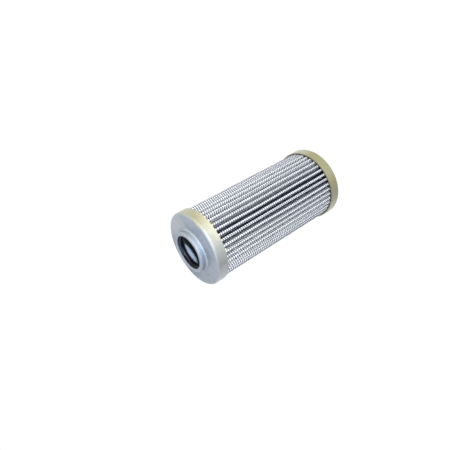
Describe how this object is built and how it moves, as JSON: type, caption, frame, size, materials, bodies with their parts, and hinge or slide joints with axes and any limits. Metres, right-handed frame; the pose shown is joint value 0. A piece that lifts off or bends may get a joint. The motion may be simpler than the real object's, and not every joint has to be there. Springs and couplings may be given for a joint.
{
  "type": "hydraulic filter element",
  "caption": "Cylindrical pleated filter element with two pressed metal end caps, a raised collar round the bore with a seal ring in it, and a perforated core tube.",
  "frame": {"origin": "centre of the closed end cap's outer face, on which the element stands", "axes": "+Z along the element's axis, from the closed end to the open end; +X through the pack's seam"},
  "size_m": [0.047, 0.047, 0.1069],
  "materials": {
    "yellow_zinc_steel": "yellow passivated zinc plate",
    "zinc_steel": "blue-grey zinc plate, tinged yellow on the skirt",
    "retainer_steel": "bright zinc plate",
    "seal_rubber": "smooth black nitrile rubber",
    "core_steel": "plain tinned steel",
    "potting_resin": "pale yellow cast resin",
    "clip_steel": "plain steel strip",
    "coated_mesh": "light grey coated wire mesh",
    "white_fleece": "thin white spunbond fleece",
    "glass_fibre": "white glass fibre mat"
  },
  "bodies": {
    "root": {"closed_end_cap": "yellow_zinc_steel", "open_end_cap": "zinc_steel", "seal_retainer": "retainer_steel", "seal_ring": "seal_rubber", "core_tube": "core_steel", "closed_end_potting": "potting_resin", "open_end_potting": "potting_resin", "seam_clip": "clip_steel", "outer_support_mesh": "coated_mesh", "upstream_fleece": "white_fleece", "glass_fibre_medium": "glass_fibre", "downstream_fleece": "white_fleece", "inner_support_mesh": "coated_mesh"}
  },
  "joints": []
}
